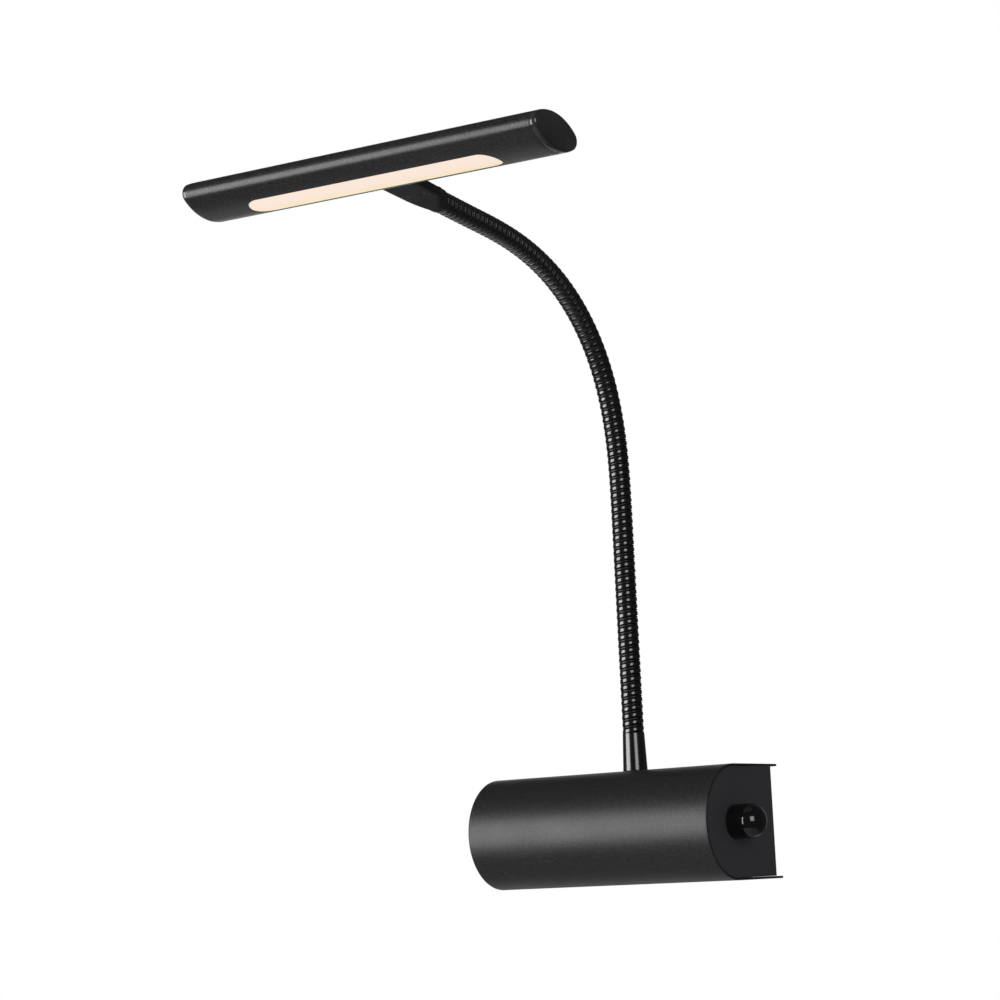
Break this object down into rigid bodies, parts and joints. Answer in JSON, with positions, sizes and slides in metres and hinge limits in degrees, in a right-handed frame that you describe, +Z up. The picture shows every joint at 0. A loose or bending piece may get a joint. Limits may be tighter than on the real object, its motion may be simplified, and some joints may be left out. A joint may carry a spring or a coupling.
{
  "type": "flexible wall lamp",
  "caption": "Black wall lamp with a half round wall box, a dimmer knob on its end, a bendable gooseneck and a long oval LED head.",
  "frame": {"origin": "on the wall face behind the centre of the wall box", "axes": "+X to the right along the wall towards the knob, +Y into the wall, +Z up"},
  "size_m": [0.2153, 0.2585, 0.3658],
  "materials": {
    "powder_black": "fine satin powder coat",
    "plate_charcoal": "matte charcoal paint",
    "head_black": "extruded tube with a fine satin black powder coat",
    "neck_black": "gloss black plated wire",
    "gloss_black": "polished black moulding",
    "opal": "opal acrylic",
    "zinc_steel": "zinc plated",
    "black_screw": "blackened steel",
    "brass": "plain",
    "white_plastic": "moulded",
    "dimmer_case": "moulded",
    "pad_foam": "adhesive foam",
    "black_rubber": "matte",
    "lead_jacket": "insulated lead, each in its own colour in the source",
    "bare_aluminium": "mill finish",
    "board_white": "white solder mask",
    "led_yellow": "phosphor"
  },
  "bodies": {
    "wall_box": {"wall_box_shell": "powder_black", "end_plate_left": "plate_charcoal", "end_plate_right": "plate_charcoal", "wall_bracket": "zinc_steel", "cable_grommet": "black_rubber", "cover_screws": "black_screw", "earth_screw": "brass", "terminal_block": "white_plastic", "terminal_screws": "brass", "led_driver": "white_plastic", "driver_pad": "pad_foam", "mains_leads": "lead_jacket", "dimmer_body": "dimmer_case", "dimmer_lugs": "zinc_steel", "dimmer_nut": "zinc_steel", "dimmer_leads": "lead_jacket", "neck_ferrule": "neck_black", "neck_washer": "zinc_steel", "neck_nut": "zinc_steel", "neck_lead": "lead_jacket", "neck_stretch_00": "neck_black"},
    "knob": {"dimmer_shaft": "zinc_steel", "dimmer_knob": "gloss_black"},
    "neck_01": {"neck_stretch_01": "neck_black"},
    "neck_02": {"neck_stretch_02": "neck_black"},
    "neck_03": {"neck_stretch_03": "neck_black"},
    "neck_04": {"neck_stretch_04": "neck_black"},
    "neck_05": {"neck_stretch_05": "neck_black"},
    "neck_06": {"neck_stretch_06": "neck_black"},
    "neck_07": {"neck_stretch_07": "neck_black"},
    "neck_08": {"neck_stretch_08": "neck_black"},
    "neck_09": {"neck_stretch_09": "neck_black"},
    "neck_10": {"neck_stretch_10": "neck_black"},
    "neck_11": {"neck_stretch_11": "neck_black"},
    "neck_12": {"neck_stretch_12": "neck_black"},
    "neck_13": {"neck_stretch_13": "neck_black"},
    "neck_14": {"neck_stretch_14": "neck_black"},
    "neck_15": {"neck_stretch_15": "neck_black"},
    "neck_16": {"neck_stretch_16": "neck_black"},
    "neck_17": {"neck_stretch_17": "neck_black"},
    "lamp_head": {"neck_stretch_18": "neck_black", "head_bracket": "powder_black", "bracket_cover": "powder_black", "bracket_screws": "black_screw", "saddle_screws": "zinc_steel", "head_tube": "head_black", "end_cap_left": "gloss_black", "end_cap_right": "gloss_black", "diffuser": "opal", "led_carrier": "bare_aluminium", "led_board": "board_white", "led_chips": "led_yellow"}
  },
  "joints": [
    {"name": "lower_bend", "type": "hinge", "parent": "wall_box", "child": "neck_01", "pos_m": [0, -0.0205, 0.05934], "axis": [1, 0, 0], "range_deg": [0, 18], "deforming": ["neck_lead"]},
    {"name": "lower_sway", "type": "hinge", "parent": "neck_01", "child": "neck_02", "pos_m": [0, -0.0205, 0.07894], "axis": [0, 1, 0], "range_deg": [-15, 15], "deforming": ["neck_lead"]},
    {"name": "lower_bend_2", "type": "hinge", "parent": "neck_02", "child": "neck_03", "pos_m": [0, -0.0205, 0.09854], "axis": [1, 0, 0], "range_deg": [0, 18], "deforming": ["neck_lead"]},
    {"name": "lower_sway_2", "type": "hinge", "parent": "neck_03", "child": "neck_04", "pos_m": [0, -0.0205, 0.11814], "axis": [0, 1, 0], "range_deg": [-15, 15], "deforming": ["neck_lead"]},
    {"name": "lower_bend_3", "type": "hinge", "parent": "neck_04", "child": "neck_05", "pos_m": [0, -0.0205, 0.13774], "axis": [1, 0, 0], "range_deg": [0, 18], "deforming": ["neck_lead"]},
    {"name": "lower_sway_3", "type": "hinge", "parent": "neck_05", "child": "neck_06", "pos_m": [0, -0.0205, 0.15734], "axis": [0, 1, 0], "range_deg": [-15, 15], "deforming": ["neck_lead"]},
    {"name": "middle_bend", "type": "hinge", "parent": "neck_06", "child": "neck_07", "pos_m": [0, -0.0205, 0.17694], "axis": [1, 0, 0], "range_deg": [-10.5, 7.5], "deforming": ["neck_lead"]},
    {"name": "middle_sway", "type": "hinge", "parent": "neck_07", "child": "neck_08", "pos_m": [0, -0.02084, 0.19654], "axis": [0, 0.9985, 0.0549], "range_deg": [-13, 13], "deforming": ["neck_lead"]},
    {"name": "middle_bend_2", "type": "hinge", "parent": "neck_08", "child": "neck_09", "pos_m": [0, -0.02265, 0.21605], "axis": [1, 0, 0], "range_deg": [-10.5, 7.5], "deforming": ["neck_lead"]},
    {"name": "middle_sway_2", "type": "hinge", "parent": "neck_09", "child": "neck_10", "pos_m": [0, -0.02684, 0.2352], "axis": [0, 0.9569, 0.2903], "range_deg": [-13, 13], "deforming": ["neck_lead"]},
    {"name": "middle_bend_3", "type": "hinge", "parent": "neck_10", "child": "neck_11", "pos_m": [0, -0.034, 0.25345], "axis": [1, 0, 0], "range_deg": [-10.5, 7.5], "deforming": ["neck_lead"]},
    {"name": "middle_sway_3", "type": "hinge", "parent": "neck_11", "child": "neck_12", "pos_m": [0, -0.04433, 0.2701], "axis": [0, 0.795, 0.6066], "range_deg": [-13, 13], "deforming": ["neck_lead"]},
    {"name": "upper_bend", "type": "hinge", "parent": "neck_12", "child": "neck_13", "pos_m": [0, -0.05766, 0.28447], "axis": [1, 0, 0], "range_deg": [-14, 7], "deforming": ["neck_lead"]},
    {"name": "upper_sway", "type": "hinge", "parent": "neck_13", "child": "neck_14", "pos_m": [0, -0.07348, 0.29604], "axis": [0, 0.5166, 0.8562], "range_deg": [-13, 13], "deforming": ["neck_lead"]},
    {"name": "upper_bend_2", "type": "hinge", "parent": "neck_14", "child": "neck_15", "pos_m": [0, -0.0911, 0.30464], "axis": [1, 0, 0], "range_deg": [-14, 7], "deforming": ["neck_lead"]},
    {"name": "upper_sway_2", "type": "hinge", "parent": "neck_15", "child": "neck_16", "pos_m": [0, -0.10981, 0.31048], "axis": [0, 0.2436, 0.9699], "range_deg": [-13, 13], "deforming": ["neck_lead"]},
    {"name": "upper_bend_3", "type": "hinge", "parent": "neck_16", "child": "neck_17", "pos_m": [0, -0.12906, 0.31417], "axis": [1, 0, 0], "range_deg": [-14, 7], "deforming": ["neck_lead"]},
    {"name": "upper_sway_3", "type": "hinge", "parent": "neck_17", "child": "lamp_head", "pos_m": [0, -0.1485, 0.31666], "axis": [0, 0.1267, 0.9919], "range_deg": [-13, 13], "deforming": ["neck_lead"]},
    {"name": "dimmer_turn", "type": "hinge", "parent": "wall_box", "child": "knob", "pos_m": [0.075, -0.044, 0], "axis": [1, 0, 0], "range_deg": [-150, 150]}
  ],
  "couplings": [
    {"joint": "lower_bend_2", "follows": "lower_bend", "ratio": 1},
    {"joint": "lower_sway_2", "follows": "lower_sway", "ratio": 1},
    {"joint": "lower_bend_3", "follows": "lower_bend", "ratio": 1},
    {"joint": "lower_sway_3", "follows": "lower_sway", "ratio": 1},
    {"joint": "middle_bend_2", "follows": "middle_bend", "ratio": 1},
    {"joint": "middle_sway_2", "follows": "middle_sway", "ratio": 1},
    {"joint": "middle_bend_3", "follows": "middle_bend", "ratio": 1},
    {"joint": "middle_sway_3", "follows": "middle_sway", "ratio": 1},
    {"joint": "upper_bend_2", "follows": "upper_bend", "ratio": 1},
    {"joint": "upper_sway_2", "follows": "upper_sway", "ratio": 1},
    {"joint": "upper_bend_3", "follows": "upper_bend", "ratio": 1},
    {"joint": "upper_sway_3", "follows": "upper_sway", "ratio": 1}
  ]
}
